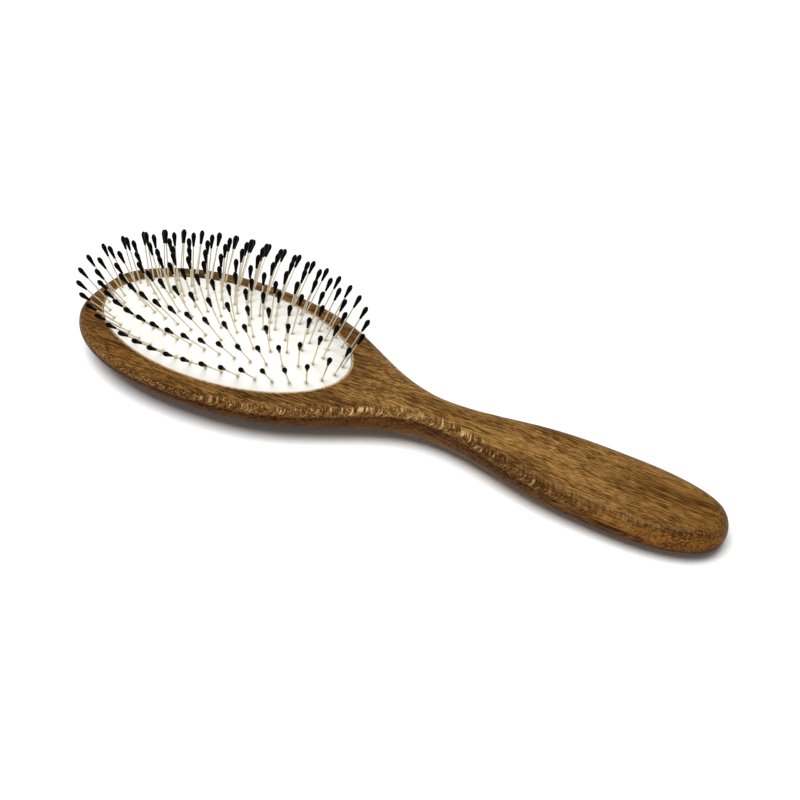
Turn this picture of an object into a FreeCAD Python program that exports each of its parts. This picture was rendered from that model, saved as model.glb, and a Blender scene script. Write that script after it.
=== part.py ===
import FreeCAD, Part
import math
import os

from FreeCAD import Placement, Rotation, Vector

# An oval air-cushion pin brush, lying on its back with the pins up.
# X runs along the brush from the head end (-X) to the handle end (+X), Y across it, Z up.
# The origin is on the table, under the middle of the length. All sizes are in millimetres and degrees.

sizes = [
    # the wooden body, seen from above: half widths, each at a distance from the head end
    ("overall_length", 225.0),
    ("head_round_half_width", 23.2),
    ("head_round_from_end", 14.5),
    ("head_half_width", 31.0),
    ("head_widest_from_end", 60.0),
    ("head_back_half_width", 25.5),
    ("head_back_from_end", 88.0),
    ("throat_half_width", 15.5),
    ("throat_from_end", 107.8),
    ("neck_half_width", 6.8),
    ("neck_from_end", 128.4),
    ("grip_start_half_width", 12.1),
    ("grip_start_from_end", 167.2),
    ("grip_half_width", 14.0),
    ("grip_widest_from_end", 192.0),
    ("grip_round_half_width", 13.1),
    ("grip_round_from_end", 208.0),
    ("head_end_bluntness", 1.33),
    ("handle_end_bluntness", 1.25),
    # the wooden body, seen from the side: heights above the table
    ("head_top_height", 14.0),
    ("neck_top_height", 15.4),
    ("grip_top_height", 11.6),
    ("head_end_back_height", 3.4),
    ("head_back_dip", -0.4),
    ("neck_back_height", 1.6),
    ("grip_back_dip", -0.1),
    ("grip_end_back_height", 1.2),
    # its rounded edges
    ("head_shoulder_width", 4.4),
    ("head_shoulder_height", 3.8),
    ("grip_shoulder_width", 5.6),
    ("grip_shoulder_height", 5.8),
    ("end_rounding", 4.6),
    # the oval mouth, the groove for the lip and the air chamber under it
    ("cushion_from_end", 54.0),
    ("cushion_half_length", 46.5),
    ("cushion_half_width", 24.15),
    ("chamber_depth", 8.0),
    ("groove_roof", 2.2),
    ("groove_height", 1.8),
    ("groove_reach", 1.6),
    ("rubber_clearance", 0.12),
    # the rubber cushion, whose rim lies a little below the wooden top
    ("rubber_thickness", 1.8),
    ("rubber_sink", 0.3),
    ("dome_height", 9.9),
    ("dome_fullness", 0.45),
    # the wire pins, their feet under the rubber, and their tips
    ("wire_diameter", 0.5),
    ("wire_exposed", 11.6),
    ("wire_hole_clearance", 0.03),
    ("foot_diameter", 1.7),
    ("foot_height", 0.6),
    ("foot_gap", 0.08),
    ("tip_length", 4.7),
    ("tip_diameter", 1.64),
    ("tip_neck_diameter", 0.76),
    ("tip_widest_from_neck", 3.25),
    # the straight middle row and the ovals on which the pins stand
    ("row_half_length", 13.4),
    ("row_shift", -1.7),
    ("first_oval_half_length", 20.7),
    ("last_oval_half_length", 44.4),
    ("first_oval_half_width", 3.7),
    ("last_oval_half_width", 21.1),
    ("even_spacing", 0.76),
    # how far the outermost pins lean outwards
    ("lean_across", 45.3),
    ("lean_along", 27.5),
    ("lean_along_evenness", 0.8),
    # how many pins stand in the row and on each oval
    ("row_pins", 6),
    ("oval_1_pins", 18),
    ("oval_2_pins", 22),
    ("oval_3_pins", 28),
    ("oval_4_pins", 36),
    ("oval_5_pins", 40),
]

doc = FreeCAD.newDocument("pin_brush")
sheet = doc.addObject("Spreadsheet::Sheet", "Sizes")
for line, (name, value) in enumerate(sizes, start=1):
    sheet.set("A%d" % line, name)
    sheet.set("B%d" % line, str(value))
    sheet.setAlias("B%d" % line, name)
doc.recompute()


def size(name):
    return float(getattr(sheet, name))


head_end = -size("overall_length") / 2
handle_end = size("overall_length") / 2


def station(name):
    # a place along the brush, given in the sheet as its distance from the head end
    return head_end + size(name)


cushion_x = station("cushion_from_end")
cushion_back_x = cushion_x + size("cushion_half_length")
neck_x = station("neck_from_end")
grip_x = station("grip_widest_from_end")


# The wooden body

def make_outline():
    # half of the outline seen from above, from the head end round to the handle end,
    # square to the middle line at both ends
    points = [
        Vector(head_end, 0, 0),
        Vector(station("head_round_from_end"), size("head_round_half_width"), 0),
        Vector(station("head_widest_from_end"), size("head_half_width"), 0),
        Vector(station("head_back_from_end"), size("head_back_half_width"), 0),
        Vector(station("throat_from_end"), size("throat_half_width"), 0),
        Vector(neck_x, size("neck_half_width"), 0),
        Vector(station("grip_start_from_end"), size("grip_start_half_width"), 0),
        Vector(grip_x, size("grip_half_width"), 0),
        Vector(station("grip_round_from_end"), size("grip_round_half_width"), 0),
        Vector(handle_end, 0, 0),
    ]
    reached = [0.0]
    for before, after in zip(points, points[1:]):
        reached.append(reached[-1] + before.distanceToPoint(after))
    outline = Part.BSplineCurve()
    outline.interpolate(
        Points=points,
        Parameters=reached,
        InitialTangent=Vector(0, size("head_end_bluntness"), 0),
        FinalTangent=Vector(0, -size("handle_end_bluntness"), 0),
        Scale=False,
    )
    return outline


def ease(share):
    # from 0 to 1 with level ends
    share = min(max(share, 0.0), 1.0)
    return share * share * (3 - 2 * share)


def along(x, stops):
    # a value that eases from stop to stop along the brush
    for (start, first), (end, last) in zip(stops, stops[1:]):
        if x <= end:
            return first + (last - first) * ease((x - start) / (end - start))
    return stops[-1][1]


def top_height(x):
    return along(x, [
        (cushion_back_x, size("head_top_height")),
        (neck_x, size("neck_top_height")),
        (handle_end, size("grip_top_height")),
    ])


def back_height(x):
    return along(x, [
        (head_end, size("head_end_back_height")),
        (cushion_x, size("head_back_dip")),
        (neck_x, size("neck_back_height")),
        (grip_x, size("grip_back_dip")),
        (handle_end, size("grip_end_back_height")),
    ])


def shoulder_width(x):
    return along(x, [
        (cushion_back_x, size("head_shoulder_width")),
        (grip_x, size("grip_shoulder_width")),
    ])


def shoulder_height(x):
    return along(x, [
        (cushion_back_x, size("head_shoulder_height")),
        (grip_x, size("grip_shoulder_height")),
    ])


def widest_height(x):
    # the height at which the body is widest, under its shoulders
    return top_height(x) - shoulder_height(x)


def end_fullness(x):
    # from 0 at either end to 1 where the rounded end stops, as a quarter of a circle
    depth = min(x - head_end, handle_end - x) / size("end_rounding")
    depth = min(max(depth, 0.0), 1.0)
    return math.sqrt(1 - (1 - depth) ** 2)


def ellipse_arc(middle, width, height, first, last):
    # part of an ellipse that stands across the brush, in degrees counted from the +Y side up
    if width >= height:
        turn = 0
        ellipse = Part.Ellipse(middle + Vector(0, width, 0), middle + Vector(0, 0, height), middle)
    else:
        turn = 90
        ellipse = Part.Ellipse(middle + Vector(0, 0, height), middle + Vector(0, -width, 0), middle)
    arc = Part.ArcOfEllipse(ellipse, math.radians(first - turn), math.radians(last - turn))
    return arc.toShape()


# the top stays flat over at least this share of the width, where the shoulders nearly meet
least_flat_share = 0.25

# the back's half ellipse is made of pieces, as its edges turn much faster than its middle
back_turns = [180, 215, 270, 325, 360]


def body_section(x, half_width):
    # a flat top, elliptic shoulders down to the widest line, and a back that is half an ellipse
    fullness = end_fullness(x)
    middle = Vector(x, 0, widest_height(x))
    shoulder = shoulder_height(x) * fullness
    back = (widest_height(x) - back_height(x)) * fullness
    flat = max(half_width - shoulder_width(x), least_flat_share * half_width) * fullness
    flat_side = Vector(0, flat, 0)
    rise = Vector(0, 0, shoulder)
    top = Part.LineSegment(middle + flat_side + rise, middle - flat_side + rise)
    edges = [
        ellipse_arc(middle, half_width, back, first, last)
        for first, last in zip(back_turns, back_turns[1:])
    ]
    edges.append(ellipse_arc(middle + flat_side, half_width - flat, shoulder, 0, 90))
    edges.append(top.toShape())
    edges.append(ellipse_arc(middle - flat_side, half_width - flat, shoulder, 90, 180))
    return Part.Wire(edges)


# how many spaces lie between the sections, and which part of a space lies before the first one
section_spaces = 48
end_space = 0.6


def make_body_blank():
    # the sections are spaced evenly on a half circle, so they crowd together at both ends,
    # where the outline turns across the brush. Each end closes in a speck of a flat. The
    # surface runs straight from section to section
    outline = make_outline()
    length = outline.length()
    spaces = [end_space, *range(1, section_spaces), section_spaces - end_space]
    sections = []
    for space in spaces:
        share = (1 - math.cos(math.pi * space / section_spaces)) / 2
        point = outline.value(outline.parameterAtDistance(share * length))
        sections.append(body_section(point.x, point.y))
    return Part.makeLoft(sections, True, True)


def add_shape(name, shape):
    feature = doc.addObject("Part::Feature", name)
    feature.Shape = shape
    return feature


def add_oval_block(name, growth, bottom, height):
    # an upright block over the cushion's oval, grown all round, with its sizes bound to the sheet
    oval = doc.addObject("Part::Ellipse", name + "_oval")
    oval.setExpression("MajorRadius", "Sizes.cushion_half_length" + growth)
    oval.setExpression("MinorRadius", "Sizes.cushion_half_width" + growth)
    oval.setExpression("Placement.Base.x", "Sizes.cushion_from_end - Sizes.overall_length / 2")
    oval.setExpression("Placement.Base.z", bottom)
    block = doc.addObject("Part::Extrusion", name)
    block.Base = oval
    block.DirMode = "Custom"
    block.Dir = Vector(0, 0, 1)
    block.Solid = True
    block.setExpression("LengthFwd", height)
    return block


groove_floor = "Sizes.head_top_height - Sizes.groove_roof - Sizes.groove_height"
chamber_floor = "Sizes.head_top_height - Sizes.chamber_depth"
above_top = 5.0

body_blank = add_shape("body_blank", make_body_blank())

under_table = doc.addObject("Part::Box", "under_table")
under_table.setExpression("Length", "Sizes.overall_length")
under_table.setExpression("Width", "Sizes.head_half_width * 2")
under_table.setExpression("Height", "Sizes.head_top_height")
under_table.setExpression("Placement.Base.x", "-Sizes.overall_length / 2")
under_table.setExpression("Placement.Base.y", "-Sizes.head_half_width")
under_table.setExpression("Placement.Base.z", "-Sizes.head_top_height")

mouth = add_oval_block(
    "mouth", " + Sizes.rubber_clearance", groove_floor,
    "Sizes.groove_roof + Sizes.groove_height + %s" % above_top,
)
groove = add_oval_block("groove", " + Sizes.groove_reach", groove_floor, "Sizes.groove_height")
chamber = add_oval_block(
    "chamber", " - Sizes.rubber_thickness", chamber_floor,
    "Sizes.chamber_depth - Sizes.groove_roof",
)
hollow = doc.addObject("Part::MultiFuse", "hollow")
hollow.Shapes = [under_table, mouth, groove, chamber]
wooden_body = doc.addObject("Part::Cut", "wooden_body")
wooden_body.Base = body_blank
wooden_body.Tool = hollow


# The rubber cushion

rim_height = size("head_top_height") - size("rubber_sink")


def dome_rise(x, y, half_length, half_width, height):
    # a rounded dome over an oval: it falls off with the square and the fourth power of the
    # distance from the middle, taken as a share of the way to the rim
    square = (x / half_length) ** 2 + (y / half_width) ** 2
    return height * (1 - (1 - size("dome_fullness")) * square - size("dome_fullness") * square ** 2)


def make_dome(half_length, half_width, height):
    # the dome's outline is turned about the upright axis and the round dome stretched along the
    # brush. The outline is a curve of the fourth degree, so its five poles give it exactly
    square = height * (1 - size("dome_fullness"))
    poles = [
        Vector(0, 0, height),
        Vector(half_width / 4, 0, height),
        Vector(half_width / 2, 0, height - square / 6),
        Vector(half_width * 3 / 4, 0, height - square / 2),
        Vector(half_width, 0, 0),
    ]
    curve = Part.BezierCurve()
    curve.setPoles(poles)
    centre = Vector(0, 0, 0)
    profile = Part.Wire([
        curve.toShape(),
        Part.LineSegment(poles[-1], centre).toShape(),
        Part.LineSegment(centre, poles[0]).toShape(),
    ])
    turned = Part.Face(profile).revolve(centre, Vector(0, 0, 1), 360)
    stretch = FreeCAD.Matrix()
    stretch.scale(half_length / half_width, 1, 1)
    dome = turned.transformGeometry(stretch)
    dome.translate(Vector(cushion_x, 0, rim_height))
    return dome


def outer_dome():
    return size("cushion_half_length"), size("cushion_half_width"), size("dome_height")


def inner_dome():
    return [extent - size("rubber_thickness") for extent in outer_dome()]


skin_outside = add_shape("skin_outside", make_dome(*outer_dome()))
skin_inside = add_shape("skin_inside", make_dome(*inner_dome()))
collar_height = "Sizes.groove_roof + Sizes.groove_height - Sizes.rubber_sink"
collar = add_oval_block("collar", "", groove_floor, collar_height)
lip = add_oval_block(
    "lip", " + Sizes.groove_reach - Sizes.rubber_clearance", groove_floor,
    "Sizes.groove_height - Sizes.rubber_clearance",
)
collar_bore = add_oval_block("collar_bore", " - Sizes.rubber_thickness", groove_floor, collar_height)


# The pins

oval_steps = 360


def oval_places(half_length, half_width, count, first_share):
    # places round an oval, between evenly spaced by angle (0) and evenly spaced by length (1)
    mean_speed = 0.0
    speeds = []
    for step in range(oval_steps):
        turn = 2 * math.pi * (step + 0.5) / oval_steps
        speed = math.hypot(half_length * math.sin(turn), half_width * math.cos(turn))
        speeds.append(speed)
        mean_speed += speed / oval_steps
    even = size("even_spacing")
    reached = [0.0]
    for speed in speeds:
        reached.append(reached[-1] + (even * speed / mean_speed + 1 - even) / oval_steps)
    places = []
    for number in range(count):
        goal = (number + first_share) / count
        step = max(index for index in range(oval_steps) if reached[index] <= goal)
        part = (goal - reached[step]) / (reached[step + 1] - reached[step])
        turn = 2 * math.pi * (step + part) / oval_steps
        places.append((half_length * math.cos(turn), half_width * math.sin(turn)))
    return places


def row_places():
    count = int(size("row_pins"))
    half = size("row_half_length")
    return [
        (size("row_shift") + half * (2 * number / (count - 1) - 1), 0.0)
        for number in range(count)
    ]


# a pin stands on the long axis of the first and fourth ovals; on the others two stand astride it
oval_first_shares = [0.0, 0.5, 0.5, 0.0, 0.5]


def pin_groups():
    groups = {"row": row_places()}
    last = len(oval_first_shares) - 1
    for number, first_share in enumerate(oval_first_shares):
        share = number / last
        half_length = size("first_oval_half_length") * (1 - share)
        half_length += size("last_oval_half_length") * share
        half_width = size("first_oval_half_width") * (1 - share)
        half_width += size("last_oval_half_width") * share
        count = int(size("oval_%d_pins" % (number + 1)))
        groups["oval_%d" % (number + 1)] = oval_places(half_length, half_width, count, first_share)
    return groups


def pin_stand(x, y):
    # where a pin leaves the rubber, and the way it points: outwards, the more so the further out
    along_share = x / size("last_oval_half_length")
    across_share = y / size("last_oval_half_width")
    even = size("lean_along_evenness")
    along_curve = even * along_share + (1 - even) * along_share ** 3
    lean = Vector(
        math.tan(math.radians(size("lean_along"))) * along_curve,
        math.tan(math.radians(size("lean_across"))) * across_share,
        1,
    )
    base = Vector(cushion_x + x, y, rim_height + dome_rise(x, y, *outer_dome()))
    return base, lean.normalize()


# the underside of the rubber is looked for no deeper than this many times its thickness
through_share = 3
halvings = 30


def depth_through_rubber(base, lean):
    # how far back along the pin the underside of the rubber lies, found by halving
    near = 0.0
    far = size("rubber_thickness") * through_share
    for _ in range(halvings):
        depth = (near + far) / 2
        point = base - lean * depth
        under = point.z - rim_height - dome_rise(point.x - cushion_x, point.y, *inner_dome())
        if under > 0:
            near = depth
        else:
            far = depth
    return far


def flat_ring(middle, lean, radius, flats):
    # the corners of a regular polygon square to the pin
    turn = Rotation(Vector(0, 0, 1), lean)
    corners = []
    for number in range(flats):
        angle = 2 * math.pi * number / flats
        corner = Vector(radius * math.cos(angle), radius * math.sin(angle), 0)
        corners.append(middle + turn.multVec(corner))
    return corners


def faceted_solid(rings):
    # a closed solid through polygons, each joined to the next by flat faces. A ring of one corner
    # is a point
    faces = []
    for ring in (rings[0], rings[-1]):
        if len(ring) > 1:
            faces.append(Part.Face(Part.makePolygon(ring + ring[:1])))
    for lower, upper in zip(rings, rings[1:]):
        for number in range(len(lower)):
            after = (number + 1) % len(lower)
            corners = [lower[number], lower[after]]
            corners += [upper[after], upper[number]] if len(upper) > 1 else upper
            faces.append(Part.Face(Part.makePolygon(corners + corners[:1])))
    solid = Part.Solid(Part.Shell(faces))
    if solid.Volume < 0:
        solid.reverse()
    return solid


# round wire and round tips are drawn with few flats, because there are so many of them
wire_flats = 4
tip_flats = 5

# how wide a tip still is half-way between its widest place and its crown
crown_share = 0.85


def make_pin(base, lean):
    # the wire from under the rubber to the tip, with a foot that flares below the rubber
    radius = size("wire_diameter") / 2
    foot_radius = size("foot_diameter") / 2
    foot_top = -depth_through_rubber(base, lean) - size("foot_gap")
    foot_bottom = foot_top - size("foot_height")
    return faceted_solid([
        flat_ring(base + lean * foot_bottom, lean, foot_radius, wire_flats),
        flat_ring(base + lean * foot_top, lean, radius, wire_flats),
        flat_ring(base + lean * size("wire_exposed"), lean, radius, wire_flats),
    ])


def make_pin_hole(base, lean):
    radius = size("wire_diameter") / 2 + size("wire_hole_clearance")
    reach = size("rubber_thickness") * through_share
    return faceted_solid([
        flat_ring(base - lean * reach, lean, radius, wire_flats),
        flat_ring(base + lean * reach, lean, radius, wire_flats),
    ])


def make_tip():
    # a teardrop with its narrow neck down on the wire's end, drawn standing at the origin
    up = Vector(0, 0, 1)
    radius = size("tip_diameter") / 2
    crown_height = (size("tip_length") + size("tip_widest_from_neck")) / 2
    crown_radius = radius * crown_share
    return faceted_solid([
        flat_ring(Vector(0, 0, 0), up, size("tip_neck_diameter") / 2, tip_flats),
        flat_ring(up * size("tip_widest_from_neck"), up, radius, tip_flats),
        flat_ring(up * crown_height, up, crown_radius, tip_flats),
        [up * size("tip_length")],
    ])


tip = make_tip()
pins = {}
tips = {}
holes = []
for group, places in pin_groups().items():
    stands = [pin_stand(x, y) for x, y in places]
    holes += [make_pin_hole(base, lean) for base, lean in stands]
    pins[group] = Part.makeCompound([make_pin(base, lean) for base, lean in stands])
    placed_tips = []
    for base, lean in stands:
        placed = tip.copy()
        placed.Placement = Placement(base + lean * size("wire_exposed"), Rotation(Vector(0, 0, 1), lean))
        placed_tips.append(placed)
    tips[group] = Part.makeCompound(placed_tips)

pin_holes = add_shape("pin_holes", Part.makeCompound(holes))
rubber_outside = doc.addObject("Part::MultiFuse", "rubber_outside")
rubber_outside.Shapes = [skin_outside, collar, lip]
rubber_removed = doc.addObject("Part::MultiFuse", "rubber_removed")
rubber_removed.Shapes = [skin_inside, collar_bore]
rubber_skin = doc.addObject("Part::Cut", "rubber_skin")
rubber_skin.Base = rubber_outside
rubber_skin.Tool = rubber_removed
cushion = doc.addObject("Part::Cut", "rubber_cushion")
cushion.Base = rubber_skin
cushion.Tool = pin_holes

pieces = [wooden_body, cushion]
for group in pins:
    pieces.append(add_shape("pins_" + group, pins[group]))
    pieces.append(add_shape("tips_" + group, tips[group]))

doc.recompute()
for item in doc.Objects:
    if "Invalid" in item.State or "Error" in item.State:
        raise RuntimeError("%s was not built: %s" % (item.Name, item.State))

os.makedirs("parts", exist_ok=True)
for piece in pieces:
    if piece.Shape.isNull() or not piece.Shape.isValid():
        raise RuntimeError("%s has no valid shape" % piece.Label)
    piece.Shape.exportStep("parts/%s.step" % piece.Label)
    print("%s: %d solids, %.1f mm3" % (piece.Label, len(piece.Shape.Solids), piece.Shape.Volume))
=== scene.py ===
import math

import bmesh
import bpy
import numpy as np
from mathutils import Matrix, Vector


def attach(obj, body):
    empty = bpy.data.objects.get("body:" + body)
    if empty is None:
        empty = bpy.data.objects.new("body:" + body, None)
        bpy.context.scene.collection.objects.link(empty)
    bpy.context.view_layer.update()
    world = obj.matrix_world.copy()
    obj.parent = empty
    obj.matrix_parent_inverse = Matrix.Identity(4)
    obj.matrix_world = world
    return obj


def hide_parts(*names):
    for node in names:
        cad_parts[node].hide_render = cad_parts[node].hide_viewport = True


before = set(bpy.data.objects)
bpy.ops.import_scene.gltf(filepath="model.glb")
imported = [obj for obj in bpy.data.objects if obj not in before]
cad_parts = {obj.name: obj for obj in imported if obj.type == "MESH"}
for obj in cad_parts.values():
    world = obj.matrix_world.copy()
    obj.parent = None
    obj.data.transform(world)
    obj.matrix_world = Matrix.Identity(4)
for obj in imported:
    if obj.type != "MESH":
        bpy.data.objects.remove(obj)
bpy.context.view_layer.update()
print("frame loaded:", len(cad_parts), "nodes")

# The brush lies on its back with the pins up: X runs from the head to the handle, Y across, Z up.
# Sizes are worked out in millimetres and become metres only where a mesh is made.
mm = 0.001


def gridQuads(rows, columns, closedColumns=False):
    # four-cornered faces over a grid of rows x columns points, the columns joined round if closed
    row = np.arange(rows - 1)
    column = np.arange(columns if closedColumns else columns - 1)
    row, column = np.meshgrid(row, column, indexing="ij")
    nextColumn = (column + 1) % columns
    corners = [
        row * columns + column,
        row * columns + nextColumn,
        (row + 1) * columns + nextColumn,
        (row + 1) * columns + column,
    ]
    return np.stack(corners, axis=-1).reshape(-1, 4)


def makePiece(name, points, quads, marks, smoothAngle, mergeDistance=2e-6):
    # a mesh object from points in millimetres and quads, with one number per point for each mark.
    # Points that meet are joined, which closes seams and poles, and the faces turn outwards
    mesh = bpy.data.meshes.new(name)
    mesh.from_pydata((points * mm).tolist(), [], quads.tolist())
    for mark, values in marks.items():
        layer = mesh.attributes.new(mark, "FLOAT", "POINT")
        layer.data.foreach_set("value", np.ascontiguousarray(values, dtype=np.float32).ravel())
    work = bmesh.new()
    work.from_mesh(mesh)
    bmesh.ops.remove_doubles(work, verts=work.verts, dist=mergeDistance)
    bmesh.ops.dissolve_degenerate(work, edges=work.edges, dist=mergeDistance / 10)
    bmesh.ops.recalc_face_normals(work, faces=work.faces)
    work.to_mesh(mesh)
    work.free()
    mesh.polygons.foreach_set("use_smooth", np.ones(len(mesh.polygons), dtype=bool))
    mesh.set_sharp_from_angle(angle=math.radians(smoothAngle))
    mesh.update()
    piece = bpy.data.objects.new(name, mesh)
    bpy.context.scene.collection.objects.link(piece)
    print("made", name, len(mesh.polygons), "faces")
    return piece


def bunched(start, end, count):
    # numbers from start to end that crowd together at both ends: evenly spaced on a half circle
    return start + (end - start) * (1 - np.cos(np.linspace(0, np.pi, count))) / 2


class Value:
    # a number that a node gives. Sums and products of values add Math nodes to the tree
    def __init__(self, finish, socket):
        self.finish = finish
        self.socket = socket

    def math(self, operation, *others, clamp=False):
        settings = {"operation": operation, "use_clamp": clamp}
        sockets = dict(enumerate((self, *others)))
        return Value(self.finish, self.finish.node("ShaderNodeMath", settings, sockets).outputs[0])

    def __add__(self, other):
        return self.math("ADD", other)

    def __sub__(self, other):
        return self.math("SUBTRACT", other)

    def __mul__(self, other):
        return self.math("MULTIPLY", other)

    def __truediv__(self, other):
        return self.math("DIVIDE", other)

    def __rsub__(self, other):
        return (self * -1).math("ADD", other)

    __radd__ = __add__
    __rmul__ = __mul__

    def clamped(self):
        return self.math("ADD", 0.0, clamp=True)

    def power(self, other):
        return self.math("POWER", other)


class Finish:
    # a material with its Principled shader, and one method that adds any other node
    def __init__(self, name, constants):
        self.material = bpy.data.materials.new(name)
        self.material.use_nodes = True
        self.tree = self.material.node_tree
        self.shader = self.tree.nodes["Principled BSDF"]
        for socket, value in constants.items():
            self.shader.inputs[socket].default_value = value

    def node(self, kind, settings=None, sockets=None):
        made = self.tree.nodes.new(kind)
        for setting, value in (settings or {}).items():
            if setting == "stops":
                self.setStops(made.color_ramp, value)
            else:
                setattr(made, setting, value)
        for socket, value in (sockets or {}).items():
            self.feed(made.inputs[socket], value)
        return made

    def setStops(self, ramp, stops):
        # (place, brightness or colour) pairs
        while len(ramp.elements) < len(stops):
            ramp.elements.new(0.5)
        for element, (place, colour) in zip(ramp.elements, stops):
            element.position = place
            element.color = colour if isinstance(colour, tuple) else (colour, colour, colour, 1)

    def feed(self, socket, value):
        if isinstance(value, Value):
            value = value.socket
        if isinstance(value, bpy.types.NodeSocket):
            self.tree.links.new(value, socket)
        else:
            socket.default_value = value

    def give(self, name, value):
        # a value or colour for one of the shader's own sockets
        self.feed(self.shader.inputs[name], value)

    def mark(self, name):
        # one of the numbers that makePiece stored on the piece's points
        made = self.node("ShaderNodeAttribute", {"attribute_name": name})
        return Value(self, made.outputs["Fac"])

    def places(self):
        # the three Object coordinates, in millimetres
        coordinates = self.node("ShaderNodeTexCoord").outputs["Object"]
        split = self.node("ShaderNodeSeparateXYZ", {}, {0: coordinates})
        return [Value(self, socket) * 1000.0 for socket in split.outputs]

    def vector(self, x, y, z):
        return self.node("ShaderNodeCombineXYZ", {}, {0: x, 1: y, 2: z}).outputs[0]

    def noise(self, x, y, z, detail=3.0, roughness=0.5, distortion=0.0):
        sockets = {
            "Vector": self.vector(x, y, z), "Scale": 1.0, "Detail": detail,
            "Roughness": roughness, "Distortion": distortion,
        }
        made = self.node("ShaderNodeTexNoise", {"noise_dimensions": "3D"}, sockets)
        return Value(self, made.outputs["Fac"])

    def step(self, value, low, high):
        # from 0 at low to 1 at high, with soft ends
        settings = {"interpolation_type": "SMOOTHSTEP"}
        sockets = {"Value": value, "From Min": low, "From Max": high}
        return Value(self, self.node("ShaderNodeMapRange", settings, sockets).outputs["Result"])

    def mix(self, share, first, second, blend="MIX"):
        # a colour between two colours
        made = self.node("ShaderNodeMix", {"data_type": "RGBA", "blend_type": blend})
        for socket, value in ((0, share), (6, first), (7, second)):
            self.feed(made.inputs[socket], value)
        return made.outputs[2]

    def bump(self, height, distanceMm, strength):
        sockets = {"Height": height, "Distance": distanceMm * mm, "Strength": strength}
        self.give("Normal", self.node("ShaderNodeBump", {}, sockets).outputs[0])


# the wooden body
body = {
    "length": 225.0,
    # seen from above: distance from the head end, half width
    "outline": [
        (14.5, 23.2), (60.0, 31.0), (88.0, 25.5), (107.8, 15.5),
        (128.4, 6.8), (167.2, 12.1), (192.0, 14.0), (208.0, 13.1),
    ],
    "headBluntness": 1.33,
    "handleBluntness": 1.25,
    "neck": 128.4,
    "grip": 192.0,
    "topHeights": (14.0, 15.4, 11.6),
    "backHeights": (3.4, -0.4, 1.6, -0.1, 1.2),
    "shoulderWidths": (4.4, 5.6),
    "shoulderHeights": (3.8, 5.8),
    "endRounding": 4.6,
    "leastFlat": 0.25,
    "recessGap": 0.12,
    "grooveRoof": 11.8,
    "grooveFloor": 10.0,
    "grooveReach": 1.6,
    "chamberFloor": 6.0,
    # shares of the way out to the chamber's wall at which its floor has a loop of points
    "floorShares": (0.7, 0.35, 0.0),
    # rows before, along and behind the recess; columns across the top, a shoulder and the back
    "rowCounts": (70, 170, 140),
    "columnCounts": (8, 17, 73),
}
# the rubber cushion, which also gives the recess its size
cushion = {
    "fromEnd": 54.0,
    "halfLength": 46.5,
    "halfWidth": 24.15,
    "thickness": 1.8,
    "sink": 0.3,
    "domeHeight": 9.9,
    "fullness": 0.45,
    "lipReach": 1.48,
    "lipTop": 11.68,
    "rimRounding": 0.45,
    "dimpleDepth": 0.2,
    "dimpleRadius": 0.7,
    "collarTop": 12.5,
    # rings on the dome, which crowd towards the rim, on the rim, and inside; points in a ring
    "domeRings": 120,
    "domeCrowding": 0.85,
    "rimRings": 7,
    "innerRings": 24,
    "around": 420,
}
headEnd = -body["length"] / 2
handleEnd = body["length"] / 2
neckX = headEnd + body["neck"]
gripX = headEnd + body["grip"]
cushionX = headEnd + cushion["fromEnd"]
cushionBackX = cushionX + cushion["halfLength"]
headTop = body["topHeights"][0]
rimHeight = headTop - cushion["sink"]


def smoothCurve(knots, values, firstSlope, lastSlope, at):
    # a curve of cubics through the values, with the slopes at both ends given. The slopes between
    # are those that leave no jump in curvature, and each span is then a Hermite cubic
    span = np.diff(knots)
    climb = np.diff(values) / span
    count = len(knots)
    system = np.zeros((count, count))
    known = np.zeros(count)
    system[0, 0] = system[-1, -1] = 1
    known[0], known[-1] = firstSlope, lastSlope
    inner = np.arange(1, count - 1)
    system[inner, inner - 1] = 1 / span[:-1]
    system[inner, inner] = 2 / span[:-1] + 2 / span[1:]
    system[inner, inner + 1] = 1 / span[1:]
    known[inner] = 3 * (climb[:-1] / span[:-1] + climb[1:] / span[1:])
    slopes = np.linalg.solve(system, known)
    index = np.clip(np.searchsorted(knots, at) - 1, 0, count - 2)
    width = span[index]
    share = (at - knots[index]) / width
    left = 1 - share
    fromStart = values[index] * (1 + 2 * share) + slopes[index] * width * share
    fromEnd = values[index + 1] * (1 + 2 * left) - slopes[index + 1] * width * left
    return fromStart * left ** 2 + fromEnd * share ** 2


def outlinePoints(count):
    # x and half width along the outline from the head end to the handle end
    stations = np.array([(0.0, 0.0), *body["outline"], (body["length"], 0.0)])
    knots = np.concatenate([[0.0], np.cumsum(np.hypot(*np.diff(stations, axis=0).T))])
    at = bunched(0.0, knots[-1], count)
    x = smoothCurve(knots, stations[:, 0] + headEnd, 0.0, 0.0, at)
    halfWidth = smoothCurve(
        knots, stations[:, 1], body["headBluntness"], -body["handleBluntness"], at,
    )
    return x, np.maximum(halfWidth, 0.0)


def eased(x, places, values):
    # a value that goes from one stop to the next with level ends
    places, values = np.array(places), np.array(values)
    index = np.clip(np.searchsorted(places, x) - 1, 0, len(places) - 2)
    share = np.clip((x - places[index]) / (places[index + 1] - places[index]), 0, 1)
    share = share * share * (3 - 2 * share)
    return values[index] + (values[index + 1] - values[index]) * share


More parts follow.
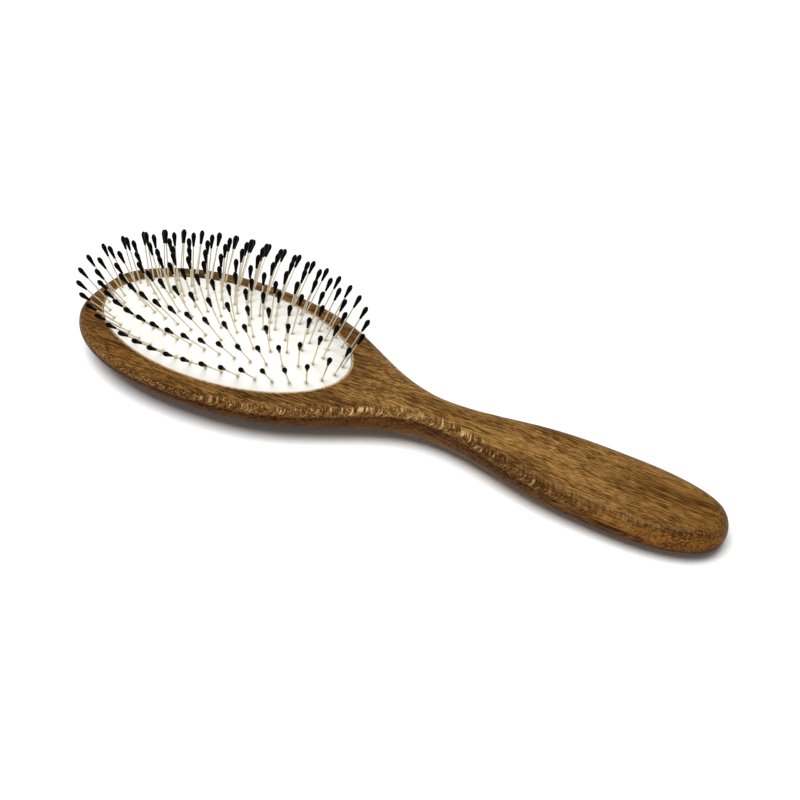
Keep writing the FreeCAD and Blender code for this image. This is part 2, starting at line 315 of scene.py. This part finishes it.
def bodyRows():
    # where the sections of the body stand, crowding at both ends and at both ends of the recess
    fineX, fineWidth = outlinePoints(40001)
    travelled = np.concatenate([[0.0], np.cumsum(np.hypot(np.diff(fineX), np.diff(fineWidth)))])
    reach = cushion["halfLength"] + body["recessGap"]
    stops = np.interp([cushionX - reach, cushionX + reach], fineX, travelled)
    edges = [0.0, *stops, travelled[-1]]
    parts = [
        bunched(start, end, count)[:-1]
        for start, end, count in zip(edges, edges[1:], body["rowCounts"])
    ]
    distance = np.concatenate([*parts, travelled[-1:]])
    x = np.interp(distance, travelled, fineX)
    return x, np.interp(distance, travelled, fineWidth), distance


def mouthHalfWidth(x):
    # half the width of the oval recess at x
    halfLength = cushion["halfLength"] + body["recessGap"]
    halfWidth = cushion["halfWidth"] + body["recessGap"]
    inside = np.clip(1 - ((x - cushionX) / halfLength) ** 2, 0, None)
    return halfWidth * np.sqrt(inside)


def recessLoops(x):
    # loops round the oval on the same rows as the body, each wider or narrower by an offset and at
    # its own height: down the wall, out and back round the groove, down the chamber and across
    # its floor
    reachX = cushion["halfLength"] + body["recessGap"]
    reachY = cushion["halfWidth"] + body["recessGap"]
    side = (x[np.abs(x - cushionX) < reachX + 1e-6] - cushionX) / reachX
    side = np.clip(side, -1, 1)
    cosine = np.concatenate([side, side[-2:0:-1]])
    sine = np.sqrt(1 - side ** 2)
    sine = np.concatenate([sine, -sine[-2:0:-1]])
    roof, floor = body["grooveRoof"], body["grooveFloor"]
    outward = body["grooveReach"] - body["recessGap"]
    inward = -cushion["thickness"] - body["recessGap"]
    floorShares = body["floorShares"]
    offsets = [0, 0, outward, outward, inward, inward] + [inward] * len(floorShares)
    shares = [1] * 6 + list(floorShares)
    heights = [headTop, roof, roof, floor, floor] + [body["chamberFloor"]] * (1 + len(floorShares))
    offsets, shares, heights = [np.array(values)[:, None] for values in (offsets, shares, heights)]
    loopX = cushionX + shares * (reachX + offsets) * cosine
    loopY = shares * (reachY + offsets) * sine
    return np.stack([loopX, loopY, heights + 0 * cosine], axis=-1)


def makeBody():
    # each section has a flat top, shoulders that are quarters of ellipses down to the widest line,
    # and a back that is half an ellipse. The top opens round the recess, which is a second grid
    x, halfWidth, distance = bodyRows()
    top = eased(x, (cushionBackX, neckX, handleEnd), body["topHeights"])
    back = eased(x, (headEnd, cushionX, neckX, gripX, handleEnd), body["backHeights"])
    shoulderWidth = eased(x, (cushionBackX, gripX), body["shoulderWidths"])
    shoulderHeight = eased(x, (cushionBackX, gripX), body["shoulderHeights"])
    depth = np.clip(np.minimum(x - headEnd, handleEnd - x) / body["endRounding"], 0, 1)
    full = np.sqrt(1 - (1 - depth) ** 2)
    widest = top - shoulderHeight
    rise = shoulderHeight * full
    drop = (widest - back) * full
    flat = np.maximum(halfWidth - shoulderWidth, body["leastFlat"] * halfWidth) * full
    mouth = np.minimum(mouthHalfWidth(x), flat)

    topCount, shoulderCount, backCount = body["columnCounts"]
    topShare = np.linspace(0, 1, topCount)
    shoulderTurn = np.linspace(np.pi / 2, 0, shoulderCount)[1:]
    backTurn = np.linspace(0, -np.pi, backCount)[1:]
    column = lambda values: values[:, None]
    topY = column(mouth) + column(flat - mouth) * topShare
    topZ = column(widest + rise) + 0 * topShare
    shoulderY = column(flat) + column(halfWidth - flat) * np.cos(shoulderTurn)
    shoulderZ = column(widest) + column(rise) * np.sin(shoulderTurn)
    backY = column(halfWidth) * np.cos(backTurn)
    backZ = np.maximum(column(widest) + column(drop) * np.sin(backTurn), 0.0)
    # the last shoulder column and the last back column are the widest line on either side
    y = np.hstack([topY, shoulderY, backY, -shoulderY[:, -2::-1], -topY[:, ::-1]])
    z = np.hstack([topZ, shoulderZ, backZ, shoulderZ[:, -2::-1], topZ[:, ::-1]])
    rows, columns = y.shape
    points = np.stack([np.repeat(column(x), columns, axis=1), y, z], axis=-1).reshape(-1, 3)

    # how far round from the top a point is: 0 on the top, 1 at the widest line, 2 under the body
    backRound = 1 + np.abs(np.sin(backTurn))
    shoulderRound = 1 - np.sin(shoulderTurn)
    topRound = np.zeros(len(topShare))
    turned = np.concatenate([
        topRound, shoulderRound, backRound, shoulderRound[-2::-1], topRound[::-1],
    ])
    turnedMark = np.repeat(turned[None], rows, axis=0)
    lengthMark = np.repeat(column(distance), columns, axis=1)
    quads = gridQuads(rows, columns)

    loops = recessLoops(x)
    recessPoints = loops.reshape(-1, 3)
    recessQuads = gridQuads(*loops.shape[:2], closedColumns=True) + len(points)
    marks = {
        "turned": np.concatenate([turnedMark.ravel(), np.zeros(len(recessPoints))]),
        "length": np.concatenate([lengthMark.ravel(), recessPoints[:, 0] - headEnd]),
    }
    return makePiece(
        "woodenBody", np.concatenate([points, recessPoints]),
        np.concatenate([quads, recessQuads]), marks, 50,
    )


# the wires and their tips
pins = {
    "wireDiameter": 0.5,
    "wireExposed": 11.6,
    "footDiameter": 1.7,
    "footHeight": 0.6,
    "footGap": 0.08,
    "tipLength": 4.7,
    "tipDiameter": 1.64,
    "tipNeckDiameter": 0.76,
    "tipWidest": 3.25,
    "row": (6, 13.4, -1.7),
    "halfLengths": (20.7, 44.4),
    "halfWidths": (3.7, 21.1),
    "counts": (18, 22, 28, 36, 40),
    "firstShares": (0.0, 0.5, 0.5, 0.0, 0.5),
    "evenness": 0.76,
    "leanAcross": 45.3,
    "leanAlong": 27.5,
    "leanAlongEvenness": 0.8,
    # the wire has rings of points at its feet and at these distances above the rubber
    "wireRings": (0.2, 1.8),
    "wireSides": 8,
    # the drop's radius grows with this power of the way up, and has this many rings each way
    "tipSwell": 1.25,
    "tipRings": 5,
    "tipSides": 10,
}


def domeRise(x, y, inset=0.0):
    # the dome falls off with the square and the fourth power of the distance from its middle,
    # taken as a share of the way to the rim
    extents = [cushion[name] - inset for name in ("halfLength", "halfWidth", "domeHeight")]
    square = (x / extents[0]) ** 2 + (y / extents[1]) ** 2
    fullness = cushion["fullness"]
    return extents[2] * (1 - (1 - fullness) * square - fullness * square ** 2)


def ovalPlaces(halfLength, halfWidth, count, firstShare):
    # places round an oval, between evenly spaced by angle (evenness 0) and by length (1)
    turn = np.linspace(0, 2 * np.pi, 361)
    middle = (turn[1:] + turn[:-1]) / 2
    speed = np.hypot(halfLength * np.sin(middle), halfWidth * np.cos(middle))
    pace = pins["evenness"] * speed / speed.mean() + 1 - pins["evenness"]
    reached = np.concatenate([[0.0], np.cumsum(pace)]) / len(pace)
    at = np.interp((np.arange(count) + firstShare) / count, reached, turn)
    return np.stack([halfLength * np.cos(at), halfWidth * np.sin(at)], axis=-1)


def pinPlaces():
    # the straight middle row, then the ovals from the inside outwards
    count, halfRow, shift = pins["row"]
    row = np.stack([shift + np.linspace(-halfRow, halfRow, count), np.zeros(count)], axis=-1)
    ovals = len(pins["counts"])
    halfLengths = np.linspace(*pins["halfLengths"], ovals)
    halfWidths = np.linspace(*pins["halfWidths"], ovals)
    sets = zip(halfLengths, halfWidths, pins["counts"], pins["firstShares"])
    return [row, *[ovalPlaces(*one) for one in sets]]


def pinStands(places):
    # the point where each pin leaves the rubber and its direction, leaning outwards
    x, y = places.T
    share = x / pins["halfLengths"][1]
    even = pins["leanAlongEvenness"]
    along = math.tan(math.radians(pins["leanAlong"])) * (even * share + (1 - even) * share ** 3)
    across = math.tan(math.radians(pins["leanAcross"])) * y / pins["halfWidths"][1]
    lean = np.stack([along, across, np.ones_like(x)], axis=-1)
    lean /= np.linalg.norm(lean, axis=1, keepdims=True)
    base = np.stack([cushionX + x, y, rimHeight + domeRise(x, y)], axis=-1)
    return base, lean


def depthThroughRubber(base, lean):
    # how far back along each pin the underside of the rubber lies, found by halving
    near = np.zeros(len(base))
    far = np.full(len(base), cushion["thickness"] * 3)
    for _ in range(30):
        depth = (near + far) / 2
        point = base - lean * depth[:, None]
        inside = rimHeight + domeRise(point[:, 0] - cushionX, point[:, 1], cushion["thickness"])
        above = point[:, 2] > inside
        near = np.where(above, depth, near)
        far = np.where(above, far, depth)
    return far


def turnedPieces(name, base, lean, distances, radii, sides):
    # a profile turned about each pin's own line: for pin p, ring r and side s the point is
    # base + lean * distance[p, r] + radius[r] * (cos s * right + sin s * up)
    right = np.cross(lean, np.array([0.0, 1.0, 0.0]))
    right /= np.linalg.norm(right, axis=1, keepdims=True)
    up = np.cross(lean, right)
    turn = np.linspace(0, 2 * np.pi, sides, endpoint=False)
    circle = (
        np.cos(turn)[None, :, None] * right[:, None] + np.sin(turn)[None, :, None] * up[:, None]
    )
    middle = base[:, None] + lean[:, None] * distances[..., None]
    points = middle[:, :, None] + np.asarray(radii)[None, :, None, None] * circle[:, None]
    pinCount, ringCount = distances.shape
    quads = gridQuads(ringCount, sides, closedColumns=True)
    shift = np.arange(pinCount)[:, None, None] * ringCount * sides
    marks = {"along": np.repeat(distances[..., None], sides, axis=2)}
    return makePiece(
        name, points.reshape(-1, 3), (quads[None] + shift).reshape(-1, 4), marks, 50,
    )


def makeWires(name, base, lean):
    # a foot under the rubber, a cone from the wire's width to the foot's, then the straight wire
    # up to its end in the tip
    radius = pins["wireDiameter"] / 2
    foot = pins["footDiameter"] / 2
    footTop = -depthThroughRubber(base, lean) - pins["footGap"]
    lower = footTop[:, None] - np.array([1.0, 1.0, 0.0]) * pins["footHeight"]
    rings = [*pins["wireRings"], pins["wireExposed"], pins["wireExposed"]]
    upper = np.repeat([rings], len(base), axis=0)
    distances = np.hstack([lower, upper])
    radii = [0.0, foot, radius, radius, radius, radius, 0.0]
    return turnedPieces(name, base, lean, distances, radii, pins["wireSides"])


def makeTips(name, base, lean):
    # a drop: its radius grows from the neck to the widest place and closes in a half oval
    widest, length = pins["tipWidest"], pins["tipLength"]
    neck, radius = pins["tipNeckDiameter"] / 2, pins["tipDiameter"] / 2
    share = np.linspace(0, 1, pins["tipRings"])
    lowerRadii = neck + (radius - neck) * share ** pins["tipSwell"]
    turn = share[1:] * np.pi / 2
    heights = np.concatenate([[0.0], widest * share, widest + (length - widest) * np.sin(turn)])
    radii = np.concatenate([[0.0], lowerRadii, radius * np.cos(turn)])
    radii[-1] = 0.0
    distances = np.repeat((pins["wireExposed"] + heights)[None], len(base), axis=0)
    return turnedPieces(name, base, lean, distances, radii, pins["tipSides"])


def makeCushion(pinPoints):
    # rings round the upright axis: ring k lies at a share of the oval (or outside or inside it by
    # an offset) and at its own height. From the crown over the dome to the rounded rim, down the
    # collar, round the lip and back up inside. Round each pin the rubber dips a little
    half = np.array([cushion["halfLength"], cushion["halfWidth"]])
    thick, rounding = cushion["thickness"], cushion["rimRounding"]
    share = np.sin(np.linspace(0, np.pi / 2, cushion["domeRings"])) ** cushion["domeCrowding"]
    share = share * (1 - rounding / half[1])
    domeHeight = rimHeight + domeRise(share * half[0], 0.0)
    turn = np.linspace(0, np.pi / 2, cushion["rimRings"])[1:]
    rimStart = domeHeight[-1]
    rimOffset = rounding * (np.sin(turn) - 1)
    rimDrop = rimStart - (rimStart - rimHeight + rounding) * (1 - np.cos(turn))
    reach, lipTop, floor = cushion["lipReach"], cushion["lipTop"], body["grooveFloor"]
    outer = [(0, cushion["collarTop"]), (0, lipTop), (reach, lipTop), (reach, floor)]
    inner = [(-thick, floor), (-thick, rimHeight)]
    innerShare = np.linspace(1, 0, cushion["innerRings"])[1:]
    innerHeight = rimHeight + domeRise(innerShare * (half[0] - thick), 0.0, thick)

    shares = np.concatenate([share, np.ones(len(turn) + len(outer) + len(inner)), innerShare])
    offsets = np.concatenate([
        0 * share, rimOffset, [offset for offset, _ in outer + inner], -thick * innerShare,
    ])
    heights = np.concatenate([
        domeHeight, rimDrop, [height for _, height in outer + inner], innerHeight,
    ])
    around = np.linspace(0, 2 * np.pi, cushion["around"], endpoint=False)
    x = (shares * half[0] + offsets)[:, None] * np.cos(around)
    y = (shares * half[1] + offsets)[:, None] * np.sin(around)
    z = np.repeat(heights[:, None], len(around), axis=1)
    flat = np.stack([x.ravel() + cushionX, y.ravel()], axis=-1)
    gap = np.full(len(flat), 1e6)
    for place in pinPoints[:, :2]:
        gap = np.minimum(gap, np.hypot(*(flat - place).T))
    near = np.exp(-(gap / cushion["dimpleRadius"]) ** 2).reshape(x.shape)
    onTop = (np.arange(len(shares)) < len(share))[:, None]
    z = z - cushion["dimpleDepth"] * near * onTop
    points = np.stack([x + cushionX, y, z], axis=-1).reshape(-1, 3)
    quads = gridQuads(len(shares), len(around), closedColumns=True)
    marks = {"pinGap": np.where(onTop, gap.reshape(x.shape), 1e3)}
    return makePiece("rubberCushion", points, quads, marks, 40)


wood = {
    "dark": (0.053, 0.0200, 0.004, 1),
    "middle": (0.182, 0.083, 0.0175, 1),
    "light": (0.420, 0.228, 0.065, 1),
    "dash": (0.034, 0.0120, 0.002, 1),
    "gold": (0.470, 0.272, 0.090, 1),
    "flake": (0.680, 0.430, 0.185, 1),
    "gap": (0.042, 0.014, 0.002, 1),
    # painted shade: the near-black brown laid over the shoulders and lower sides, and the red-brown
    # of the underside
    "paintedShadeBand": (0.030, 0.005, 0.0008, 1),
    "under": (0.165, 0.068, 0.014, 1),
    "amber": (0.400, 0.185, 0.040, 1),
    # painted bounce light: the paler grey-brown line low on the underside
    "paintedBounceEdge": (0.130, 0.080, 0.040, 1),
    "bare": (0.760, 0.550, 0.300, 1),
    "warmth": (0.77, 0.70, 0.585, 1),
    "shade": (0.675, 0.585, 0.475, 1),
}
# stretches along X over which the wood changes: from the head to the rest, to the handle, towards
# its warm end, towards small flakes only, and out of the darker head
spans = {
    "head": (-62.0, -38.0),
    "handle": (5.0, 45.0),
    "end": (55.0, 108.0),
    "small": (25.0, 85.0),
    "shade": (-110.0, 25.0),
}


def mouthEdge(finish, x, y, z, fibre):
    # the bare edge of the mouth, chipped here and there, by how far outside the oval a point is
    extents = [cushion[name] + body["recessGap"] for name in ("halfLength", "halfWidth")]
    shareX, shareY = (x - cushionX) / extents[0], y / extents[1]
    reach = (shareX * shareX + shareY * shareY).power(0.5)
    slopeX, slopeY = shareX / extents[0], shareY / extents[1]
    outside = (reach - 1) * reach / (slopeX * slopeX + slopeY * slopeY).power(0.5)
    chips = finish.noise(x / 0.9, y / 0.9, 2.7, detail=1.0)
    bare = (1 - finish.step(outside, 0.25, 0.7)) * finish.step(z, 11.5, 12.0)
    bare = bare * (1 - finish.step(chips, 0.48, 0.60) * 0.6)
    return bare * (0.5 + fibre * 0.5)


def makeWoodFinish():
    # stained beech: fine streaks along the brush with short dark dashes between them. Where the
    # rounded edges cut across the grain, the same dashes show as pale curved flakes
    constants = {
        "IOR": 1.45, "Specular IOR Level": 0.03, "Specular Tint": (1.0, 0.8, 0.5, 1),
        "Coat Roughness": 0.22, "Coat IOR": 1.25, "Sheen Weight": 0.04, "Sheen Roughness": 0.3,
    }
    finish = Finish("stainedBeech", constants)
    x, y, z = finish.places()
    turned = finish.mark("turned")
    length = finish.mark("length")
    onHead = 1 - finish.step(x, *spans["head"])
    onHandle = finish.step(x, *spans["handle"])
    nearEnd = finish.step(x, *spans["end"])

    # the grain: noises drawn out along X that sway a little, the finest a hair wide
    sway = finish.noise(x / 60, y / 20, z / 20, detail=1.0) * 1.5
    acrossY, acrossZ = y + sway, z + sway
    broad = finish.noise(x / 40 + 3.1, acrossY / 4.0, acrossZ / 4.0, detail=2.0)
    streak = finish.noise(x / 26, acrossY / 0.55, acrossZ / 0.55, detail=3.0, roughness=0.65)
    fibre = finish.noise(x / 6, acrossY / 0.2, acrossZ / 0.2, detail=2.0, roughness=0.6)
    hair = finish.noise(x / 9 + 5.0, acrossY / 0.13, acrossZ / 0.13, detail=1.0)
    dash = finish.noise(x / 2.6 + 9.0, acrossY / 0.24, acrossZ / 0.24, detail=1.0)
    tone = (streak * 2.1 + broad * 1.1 + fibre * 3.1 + hair * 2.3 - 3.78).clamped()
    dashes = (finish.step(dash, 0.53, 0.63) + finish.step(hair, 0.57, 0.65) * 0.6).clamped()
    golds = finish.step(1 - dash, 0.56, 0.68) * finish.step(broad, 0.42, 0.6)

    # the flakes follow curves that run off the flat top, turn down over the shoulder and end
    # leaning back: the distance they have moved along the brush is a parabola of the turn
    lean = 1 - turned / 0.36
    flakeLength = length - (1 - lean * lean) * 1.5
    onEdge = finish.step(turned, onHead * 0.20 + 0.03, onHead * 0.20 + 0.25)
    onEdge = onEdge * (1 - finish.step(turned, 0.62 + onHead * 0.1, 0.80 + onHead * 0.1))
    ragged = finish.noise(length / 1.5, turned * 9.0, 6.1, detail=1.0) * 0.5
    line = finish.noise((flakeLength + ragged) / 0.62, turned * 1.6, 4.4, detail=1.6, roughness=0.6)
    small = finish.noise(flakeLength / 0.36, turned * 7.0, 1.2, detail=1.5, roughness=0.6)
    patch = finish.noise(length / 4.0, turned * 2.2 + 8.0, y / 40, detail=2.0)
    bold = (1 - onHead) * (1 - finish.step(x, *spans["small"]) * 0.85)
    patches = finish.step(patch, 0.45, 0.60) * bold
    scales = finish.step(small, 0.57 - onHead * 0.04, 0.67 - onHead * 0.04)
    scales = scales * (1 - patches * 0.7) * (0.7 + onHead * 0.5 - onHandle * 0.3 - nearEnd * 0.2)
    flakes = finish.step(line, 0.54, 0.64) * patches
    flakes = (flakes + scales * (0.75 - onHandle * 0.15)).clamped() * onEdge
    gaps = finish.step(1 - line, 0.48, 0.60) * onEdge

    # belts round the body: painted shade in a dark band under the flakes and down over the
    # underside, a painted paler line of bounce light along the underside's edge, and the back,
    # which keeps the grain
    paintedShadeBand = finish.step(turned, 0.62 + onHead * 0.14, 0.82 + onHead * 0.12)
    under = finish.step(turned, 0.96, 1.12)
    # painted bounce light: a paler line low on the underside
    paintedBounceEdge = finish.step(turned, 1.36, 1.46)
    back = finish.step(turned, 1.5, 1.72)
    amber = nearEnd * finish.step(turned, 0.22, 0.5) * (1 - finish.step(turned, 0.95, 1.15))
    amber = amber * (tone * 1.2).clamped() * (1 - finish.step(1 - small, 0.5, 0.6) * 0.6)

    stops = [(0.08, wood["dark"]), (0.50, wood["middle"]), (0.95, wood["light"])]
    colour = finish.node("ShaderNodeValToRGB", {"stops": stops}, {0: tone}).outputs[0]
    dashShare = dashes * (1 - onEdge * 0.6) * (0.82 - onHandle * 0.34)
    grain = finish.mix(golds * 0.5, finish.mix(dashShare, colour, wood["dash"]), wood["gold"])
    # painted shade on the underside, varied by the grain's tone
    paintedShadeBelow = finish.mix((tone * 2.6 - 0.85).clamped(), wood["paintedShadeBand"], wood["under"])
    # painted shade on the shoulders, stronger on the head and handle, weaker towards the handle's
    # end
    paintedShoulderShade = onEdge * (0.22 + onHead * 0.16 + onHandle * 0.28 - nearEnd * 0.2)
    # each layer covers a share of those before it
    layers = [
        (paintedShoulderShade, wood["paintedShadeBand"]),
        (gaps * 0.7, wood["gap"]),
        (flakes * 0.9, wood["flake"]),
        (paintedShadeBand * (0.98 - tone * 0.35), wood["paintedShadeBand"]),
        (under, paintedShadeBelow),
        (amber, wood["amber"]),
        (paintedBounceEdge * 0.6, wood["paintedBounceEdge"]),
        (back, grain),
        (mouthEdge(finish, x, y, z, fibre), wood["bare"]),
    ]
    colour = grain
    for share, layer in layers:
        colour = finish.mix(share, colour, layer)
    colour = finish.mix(nearEnd, colour, wood["warmth"], blend="MULTIPLY")
    forward = 1 - finish.step(x, *spans["shade"])
    colour = finish.mix(forward, colour, wood["shade"], blend="MULTIPLY")
    finish.give("Base Color", colour)
    finish.give("Roughness", 0.42 - flakes * 0.08 + fibre * 0.16)
    finish.give("Coat Weight", (1 - under * 0.8) * (0.10 - dashes * 0.05))
    height = fibre * 0.4 - dashes * 0.5 + flakes * 0.4 - gaps * 0.4 + streak * 0.3
    finish.bump(height, 0.1, 0.5)
    return finish.material


rubber = {
    "pale": (0.95, 0.94, 0.895, 1),
    "clouded": (0.92, 0.91, 0.85, 1),
    "halo": (0.62, 0.54, 0.36, 1),
    "stain": (0.42, 0.33, 0.18, 1),
}


def makeRubberFinish():
    # matt, nearly white rubber, a little stained round each pin
    finish = Finish("paleRubber", {"IOR": 1.45, "Specular IOR Level": 0.25})
    x, y, z = finish.places()
    gap = finish.mark("pinGap")
    cloud = finish.noise(x / 12, y / 12, z / 12, detail=2.0)
    speck = finish.noise(x / 0.4, y / 0.4, z / 0.4, detail=2.0)
    stain = (1 - finish.step(gap, 0.3, 0.9)) * 0.6
    halo = (1 - finish.step(gap, 0.7, 1.5)) * 0.2
    colour = finish.mix(cloud, rubber["pale"], rubber["clouded"])
    colour = finish.mix(halo, colour, rubber["halo"])
    finish.give("Base Color", finish.mix(stain, colour, rubber["stain"]))
    finish.give("Roughness", 0.5 + speck * 0.15)
    finish.bump(speck, 0.03, 0.2)
    return finish.material


wire = {
    "bright": (0.70, 0.65, 0.51, 1),
    "rubbed": (0.53, 0.48, 0.36, 1),
    "tarnish": (0.24, 0.19, 0.11, 1),
}


def makeWireFinish():
    # pale drawn wire with fine lengthwise marks, a little tarnished where it leaves the rubber
    finish = Finish("drawnWire", {"Metallic": 1.0})
    x, y, z = finish.places()
    rub = finish.noise(x / 0.3, y / 0.3, z / 3.0, detail=2.0)
    low = 1 - finish.step(finish.mark("along"), 0.2, 1.6)
    colour = finish.mix(rub, wire["bright"], wire["rubbed"])
    finish.give("Base Color", finish.mix(low * 0.4, colour, wire["tarnish"]))
    finish.give("Roughness", 0.22 + rub * 0.16)
    return finish.material


tip = {
    "black": (0.0015, 0.0015, 0.0015, 1),
    "scuffed": (0.004, 0.004, 0.0035, 1),
}


def makeTipFinish():
    # black moulded plastic with a soft gloss
    finish = Finish("blackPlastic", {"IOR": 1.45, "Specular IOR Level": 0.03})
    x, y, z = finish.places()
    scuff = finish.noise(x / 0.5, y / 0.5, z / 0.5, detail=3.0)
    finish.give("Base Color", finish.mix(scuff, tip["black"], tip["scuffed"]))
    finish.give("Roughness", 0.28 + scuff * 0.18)
    finish.bump(scuff, 0.02, 0.15)
    return finish.material


def place(piece, material, slot, nodes):
    # gives a piece its finish and puts it in place of the frame's nodes, on the one body
    piece.data.materials.append(material)
    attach(piece, "root")
    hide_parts(*nodes)


woodenBody = makeBody()
place(woodenBody, makeWoodFinish(), "stained_beech", ["wooden_body"])

wireFinish = makeWireFinish()
tipFinish = makeTipFinish()
groupNames = ["row", *["oval_%d" % (number + 1) for number in range(len(pins["counts"]))]]
bases = []
for group, places in zip(groupNames, pinPlaces()):
    base, lean = pinStands(places)
    bases.append(base)
    place(makeWires("wires_" + group, base, lean), wireFinish, "steel_wire", ["pins_" + group])
    place(makeTips("drops_" + group, base, lean), tipFinish, "black_tip", ["tips_" + group])

place(makeCushion(np.concatenate(bases)), makeRubberFinish(), "pale_rubber", ["rubber_cushion"])
print("the brush is made")


# floor, light and camera
studio = {
    "floorSize": 6.0,
    "floorColour": (0.98, 0.98, 0.98, 1),
    "floorLift": 0.02,
    "clearOf": (130.0, 350.0),
    "skyStrength": 0.18,
    "lampPlace": (-0.02, -0.78, 2.90),
    "lampAim": (0.0, 0.0, 0.0),
    "lampSize": 1.9,
    "lampPower": 103.0,
}
view = {
    # the point looked at, in mm, then degrees round and above it, the roll and the distance
    "target": (8.4, -1.1, 13.3),
    "azimuth": 31.13,
    "elevation": 39.75,
    "roll": -1.02,
    "distance": 399.4,
    "focalPixels": 1311.4,
    "imagePixels": 800,
}


def seenRays(tree):
    # 1 where the camera, gloss or glass sees the backdrop, 0 for the light that falls on things
    path = tree.nodes.new("ShaderNodeLightPath")
    seen = path.outputs["Is Camera Ray"]
    for name in ("Is Glossy Ray", "Is Transmission Ray"):
        either = tree.nodes.new("ShaderNodeMath")
        either.use_clamp = True
        tree.links.new(seen, either.inputs[0])
        tree.links.new(path.outputs[name], either.inputs[1])
        seen = either.outputs[0]
    return seen


def makeFloor():
    mesh = bpy.data.meshes.new("floor")
    half = studio["floorSize"] / 2
    corners = [(-half, -half, 0), (half, -half, 0), (half, half, 0), (-half, half, 0)]
    mesh.from_pydata(corners, [], [(0, 1, 2, 3)])
    floor = bpy.data.objects.new("floor", mesh)
    floor.location.z = -0.05 * mm
    bpy.context.scene.collection.objects.link(floor)
    # white paper, lit by the lamp near the brush so that it keeps the shadow. Farther out it turns
    # into a white backdrop where the camera or a reflection sees it
    constants = {
        "Roughness": 0.9, "Specular IOR Level": 0.0, "Base Color": studio["floorColour"],
        "Emission Strength": 1.0,
    }
    finish = Finish("paper", constants)
    seen = Value(finish, seenRays(finish.tree))
    x, y, z = finish.places()
    away = finish.step((x * x + y * y).power(0.5), *studio["clearOf"])
    lift = seen * (away + studio["floorLift"])
    finish.give("Emission Color", finish.mix(lift, (0, 0, 0, 1), (1, 1, 1, 1)))
    mesh.materials.append(finish.material)


def makeLight():
    world = bpy.data.worlds.new("sky")
    bpy.context.scene.world = world
    world.use_nodes = True
    tree = world.node_tree
    sky = tree.nodes["Background"]
    sky.inputs["Color"].default_value = (1, 1, 1, 1)
    white = tree.nodes.new("ShaderNodeMix")
    white.inputs[2].default_value = studio["skyStrength"]
    white.inputs[3].default_value = 1.0
    tree.links.new(seenRays(tree), white.inputs[0])
    tree.links.new(white.outputs[0], sky.inputs["Strength"])
    lamp = bpy.data.lights.new("softbox", "AREA")
    lamp.size = studio["lampSize"]
    lamp.energy = studio["lampPower"]
    holder = bpy.data.objects.new("softbox", lamp)
    holder.location = studio["lampPlace"]
    direction = Vector(studio["lampAim"]) - Vector(studio["lampPlace"])
    holder.rotation_euler = direction.to_track_quat("-Z", "Y").to_euler()
    bpy.context.scene.collection.objects.link(holder)


def makeCamera():
    azimuth, elevation = math.radians(view["azimuth"]), math.radians(view["elevation"])
    back = Vector((
        math.sin(azimuth) * math.cos(elevation),
        -math.cos(azimuth) * math.cos(elevation),
        math.sin(elevation),
    ))
    level = Vector((math.cos(azimuth), math.sin(azimuth), 0))
    upright = back.cross(level)
    turn = math.radians(view["roll"])
    right = math.cos(turn) * level + math.sin(turn) * upright
    up = -math.sin(turn) * level + math.cos(turn) * upright
    lens = bpy.data.cameras.new("camera")
    lens.sensor_width = 36.0
    lens.lens = view["focalPixels"] * lens.sensor_width / view["imagePixels"]
    camera = bpy.data.objects.new("camera", lens)
    turned = Matrix((right, up, back)).transposed().to_4x4()
    spot = (Vector(view["target"]) + back * view["distance"]) * mm
    camera.matrix_world = Matrix.Translation(spot) @ turned
    bpy.context.scene.collection.objects.link(camera)
    lens.clip_start = 0.01
    lens.clip_end = 20.0
    bpy.context.scene.camera = camera


makeFloor()
makeLight()
makeCamera()
bpy.context.scene.view_settings.view_transform = "Standard"
print("floor, light and camera are set")
